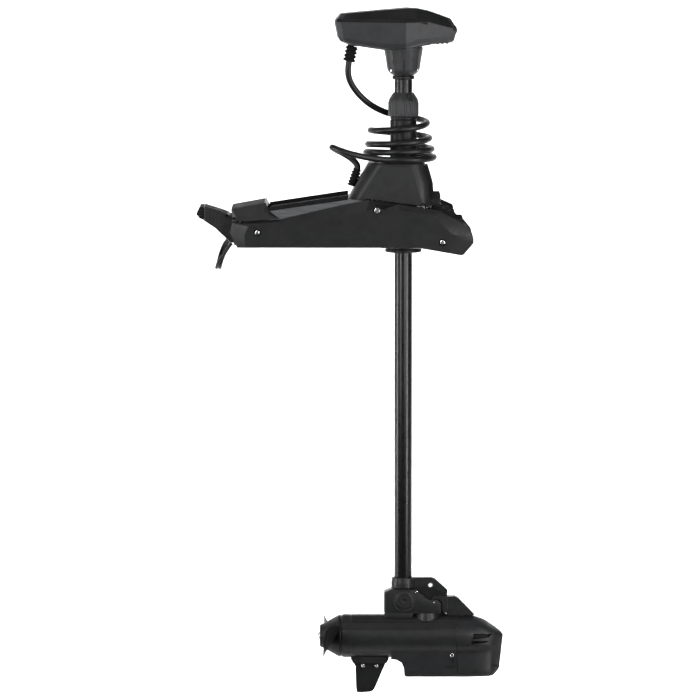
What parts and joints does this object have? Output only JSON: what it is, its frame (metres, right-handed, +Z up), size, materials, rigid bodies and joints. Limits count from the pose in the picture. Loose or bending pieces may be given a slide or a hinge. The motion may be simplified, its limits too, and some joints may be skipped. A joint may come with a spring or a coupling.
{
  "type": "trolling motor",
  "caption": "Bow-mount trolling motor: deck mount with foot pedal, tilting steering tower, coiled cable, shaft with control head, motor pod with propeller, fin and sonar nose.",
  "frame": {"origin": "underside of the deck plate, in the middle of its rear web", "axes": "+Z up along the deployed shaft, +X towards the bow, -Y to starboard"},
  "size_m": [0.6685, 0.427, 1.5003],
  "materials": {
    "cover_plastic": "fine textured moulding",
    "dark_plastic": "satin",
    "rubber": "matte",
    "shaft_finish": "smooth satin composite",
    "motor_paint": "powder coat",
    "sonar_plastic": "fine satin",
    "stainless": "bright",
    "alloy": "anodised",
    "core_steel": "laminated",
    "terminal_metal": "tinned copper",
    "board": "solder mask",
    "cable_jacket": "satin jacket"
  },
  "bodies": {
    "mount": {"deck_base_plate": "alloy", "rail_starboard": "alloy", "rail_port": "alloy", "side_cover_starboard": "cover_plastic", "side_cover_port": "cover_plastic", "rear_top_cover": "cover_plastic", "rail_trim_starboard": "rubber", "rail_trim_port": "rubber", "bow_pad_starboard": "rubber", "bow_pad_port": "rubber", "tilt_bolt": "stainless", "rear_screw_starboard": "stainless", "rear_screw_port": "stainless", "bow_screw_starboard": "stainless", "bow_screw_port": "stainless", "pedal_pin": "stainless", "power_gland": "rubber", "power_cable": "cable_jacket", "power_cable_coil": "cable_jacket", "terminal_positive": "terminal_metal", "terminal_negative": "terminal_metal"},
    "latch": {"latch_bar": "alloy"},
    "pedal": {"pedal": "cover_plastic", "pedal_end_cap": "rubber"},
    "tower": {"tower_shell_starboard": "cover_plastic", "tower_shell_port": "cover_plastic", "tower_bow_trim": "rubber", "lock_block": "dark_plastic", "lower_housing": "dark_plastic", "bottom_flange": "dark_plastic", "upper_bearing": "alloy", "steer_motor": "alloy", "tower_gland": "rubber", "coil_cable_tail": "cable_jacket"},
    "steering": {"steering_tube": "dark_plastic", "steering_gear": "stainless", "coil_cable_lower": "cable_jacket"},
    "pinion": {"steer_pinion": "stainless"},
    "shaft": {"shaft_tube": "shaft_finish", "shaft_top_ring": "dark_plastic", "neck_clamp": "cover_plastic", "head_lower_shell": "cover_plastic", "head_top_cover": "cover_plastic", "circuit_board": "board", "head_gland": "rubber", "coil_cable_upper": "cable_jacket", "shaft_socket": "motor_paint", "knuckle_body": "motor_paint", "knuckle_cap": "motor_paint", "swivel_post": "motor_paint", "nose_wedge": "motor_paint", "motor_housing": "motor_paint", "motor_stator": "core_steel", "nose_cone": "sonar_plastic", "sonar_skirt": "sonar_plastic", "fin_bracket": "motor_paint", "fin": "motor_paint"},
    "propeller": {"propeller": "dark_plastic", "motor_rotor": "core_steel"},
    "collar": {"depth_collar": "cover_plastic"}
  },
  "joints": [
    {"name": "pedal_press", "type": "hinge", "parent": "mount", "child": "pedal", "pos_m": [-0.06, 0, 0.031], "axis": [0, -1, 0], "range_deg": [0, 15], "stiffness_Nm_per_rad": 1.5, "springref_deg": -28.65},
    {"name": "latch_slide", "type": "slide", "parent": "mount", "child": "latch", "axis": [1, 0, 0], "range_m": [-0.0125, 0]},
    {"name": "stow_tilt", "type": "hinge", "parent": "mount", "child": "tower", "pos_m": [0.2327, 0, 0.0807], "axis": [0, -1, 0], "range_deg": [0, 88]},
    {"name": "steer", "type": "hinge", "parent": "tower", "child": "steering", "pos_m": [0.29, 0, 0], "axis": [0, 0, 1], "range_deg": [-180, 180], "deforming": ["coil_cable_lower", "coil_cable_tail"]},
    {"name": "pinion_spin", "type": "hinge", "parent": "tower", "child": "pinion", "pos_m": [0.23, 0, 0], "axis": [0, 0, 1], "range_deg": [-421, 421]},
    {"name": "shaft_lift", "type": "slide", "parent": "steering", "child": "shaft", "axis": [0, 0, 1], "range_m": [0, 0.551], "deforming": ["coil_cable_upper"]},
    {"name": "collar_slide", "type": "slide", "parent": "shaft", "child": "collar", "axis": [0, 0, 1], "range_m": [0, 0.027]},
    {"name": "propeller_spin", "type": "hinge", "parent": "shaft", "child": "propeller", "pos_m": [0.13, 0, -0.8574], "axis": [1, 0, 0], "continuous": true}
  ],
  "couplings": [
    {"joint": "latch_slide", "follows": "pedal_press", "m_per_rad": -0.0458},
    {"joint": "shaft_lift", "follows": "stow_tilt", "m_per_rad": 0.3581},
    {"joint": "pinion_spin", "follows": "steer", "ratio": -2.3333}
  ]
}
